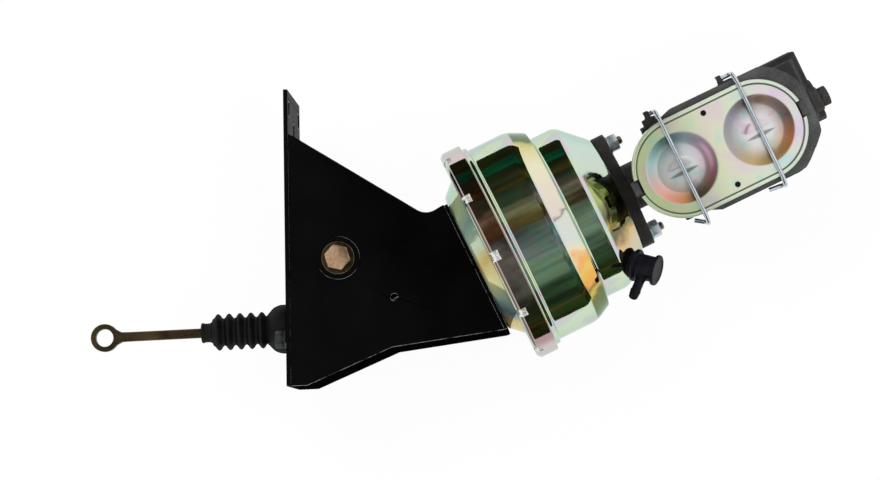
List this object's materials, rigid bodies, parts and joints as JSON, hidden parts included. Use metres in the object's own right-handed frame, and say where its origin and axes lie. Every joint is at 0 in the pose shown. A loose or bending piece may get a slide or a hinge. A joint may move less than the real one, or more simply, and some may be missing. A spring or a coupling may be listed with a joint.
{
  "type": "brake booster",
  "caption": "Bell-crank firewall bracket carrying a zinc-plated dual diaphragm vacuum booster, a pedal rod with boot, and a dual reservoir master cylinder with wire bails.",
  "frame": {"origin": "centre of the firewall bolt pattern, on the rear face of the firewall plate", "axes": "+X away from the firewall (away from the driver), +Y up along the firewall plate, +Z to the side that the reservoir lid faces"},
  "size_m": [0.6713, 0.2952, 0.2034],
  "materials": {
    "black_paint": "gloss",
    "yellow_zinc": "iridescent yellow zinc plating",
    "pale_zinc": "satin iridescent yellow zinc plating",
    "grey_zinc": "clear zinc plating",
    "stud_bronze": "yellow zinc plating",
    "aged_bronze_zinc": "aged yellow zinc plating",
    "bare_steel": "machined",
    "dark_steel": "dark phosphate",
    "bright_wire": "bright zinc plating",
    "aluminium": "machined",
    "dark_cast_iron": "as cast, dark coated",
    "brass": "machined",
    "black_rubber": "matte",
    "black_plastic": "semi-gloss"
  },
  "bodies": {
    "bracket": {"firewall_plate": "black_paint", "bracket_side_near": "black_paint", "bracket_side_far": "black_paint", "bracket_floor": "black_paint", "booster_plate": "black_paint", "pivot_rings": "black_paint", "pivot_bolt": "yellow_zinc", "pivot_washers": "yellow_zinc", "pivot_nut": "yellow_zinc", "pivot_sleeve": "bare_steel", "rear_shell": "yellow_zinc", "front_shell": "yellow_zinc", "divider_plate": "yellow_zinc", "divider_seal": "black_rubber", "rear_studs": "grey_zinc", "rear_nuts": "grey_zinc", "rear_bearing": "black_plastic", "front_seal": "black_rubber", "front_studs": "stud_bronze", "front_nuts": "grey_zinc", "valve_grommet": "black_rubber", "master_body": "dark_cast_iron", "lid": "pale_zinc", "lid_gasket": "black_rubber", "casting_plugs": "dark_cast_iron", "snap_ring": "bare_steel", "stop_screw": "grey_zinc", "tube_seats": "brass", "boot": "black_rubber", "boot_retainer": "black_paint", "boot_bolts": "dark_steel", "return_spring": "bare_steel", "bore_springs": "bare_steel"},
    "pedal_push_rod": {"pedal_rod": "aged_bronze_zinc", "pedal_fork": "dark_steel", "pedal_jam_nut": "grey_zinc", "pedal_pin": "grey_zinc"},
    "crank": {"bellcrank": "dark_steel", "bellcrank_bushings": "brass"},
    "booster_input": {"input_rod": "bare_steel", "input_fork": "dark_steel", "input_jam_nut": "grey_zinc", "input_pin": "grey_zinc", "valve_plunger": "aluminium"},
    "power_piston": {"power_valve_body": "black_plastic", "rear_diaphragm_plate": "grey_zinc", "front_diaphragm_plate": "grey_zinc", "rear_diaphragm": "black_rubber", "front_diaphragm": "black_rubber", "reaction_disc": "black_rubber", "output_rod": "bare_steel", "poppet_valve": "black_rubber"},
    "primary": {"primary_piston": "aluminium", "primary_cups": "black_rubber"},
    "secondary": {"secondary_piston": "aluminium", "secondary_cups": "black_rubber"},
    "rear_bail": {"bail_rear": "bright_wire"},
    "front_bail": {"bail_front": "bright_wire"},
    "check_valve": {"check_valve_body": "black_plastic", "check_valve_disc": "black_rubber"}
  },
  "joints": [
    {"name": "pedal_push", "type": "slide", "parent": "bracket", "child": "pedal_push_rod", "axis": [0.9995, 0.0302, 0], "range_m": [0, 0.02845], "stiffness_N_per_m": 3000, "springref_m": -0.03, "deforming": ["boot", "return_spring", "bore_springs"]},
    {"name": "crank_swing", "type": "hinge", "parent": "bracket", "child": "crank", "pos_m": [0.0472, -0.0196, 0], "axis": [0, 0, 1], "range_deg": [0, 28.1]},
    {"name": "input_slide", "type": "slide", "parent": "bracket", "child": "booster_input", "axis": [0.906, 0.4233, 0], "range_m": [0, 0.0267]},
    {"name": "power_slide", "type": "slide", "parent": "bracket", "child": "power_piston", "axis": [0.906, 0.4233, 0], "range_m": [0, 0.0252], "deforming": ["rear_diaphragm", "front_diaphragm"]},
    {"name": "primary_slide", "type": "slide", "parent": "bracket", "child": "primary", "axis": [0.906, 0.4233, 0], "range_m": [0, 0.0252]},
    {"name": "secondary_slide", "type": "slide", "parent": "bracket", "child": "secondary", "axis": [0.906, 0.4233, 0], "range_m": [0, 0.01139]},
    {"name": "rear_bail_swing", "type": "hinge", "parent": "bracket", "child": "rear_bail", "pos_m": [0.32128, 0.10048, 0.05928], "axis": [-0.906, -0.4233, 0], "range_deg": [0, 110]},
    {"name": "front_bail_swing", "type": "hinge", "parent": "bracket", "child": "front_bail", "pos_m": [0.38733, 0.13133, 0.05928], "axis": [-0.906, -0.4233, 0], "range_deg": [0, 110]},
    {"name": "check_valve_swivel", "type": "hinge", "parent": "bracket", "child": "check_valve", "pos_m": [0.30468, -0.02855, 0.03347], "axis": [0.9002, -0.2803, 0.3334], "range_deg": [-60, 60]}
  ],
  "couplings": [
    {"joint": "crank_swing", "follows": "pedal_push", "rad_per_m": 17.179},
    {"joint": "input_slide", "follows": "pedal_push", "ratio": 0.93498},
    {"joint": "power_slide", "follows": "pedal_push", "ratio": 0.88225},
    {"joint": "primary_slide", "follows": "pedal_push", "ratio": 0.88225},
    {"joint": "secondary_slide", "follows": "pedal_push", "ratio": 0.39701}
  ]
}
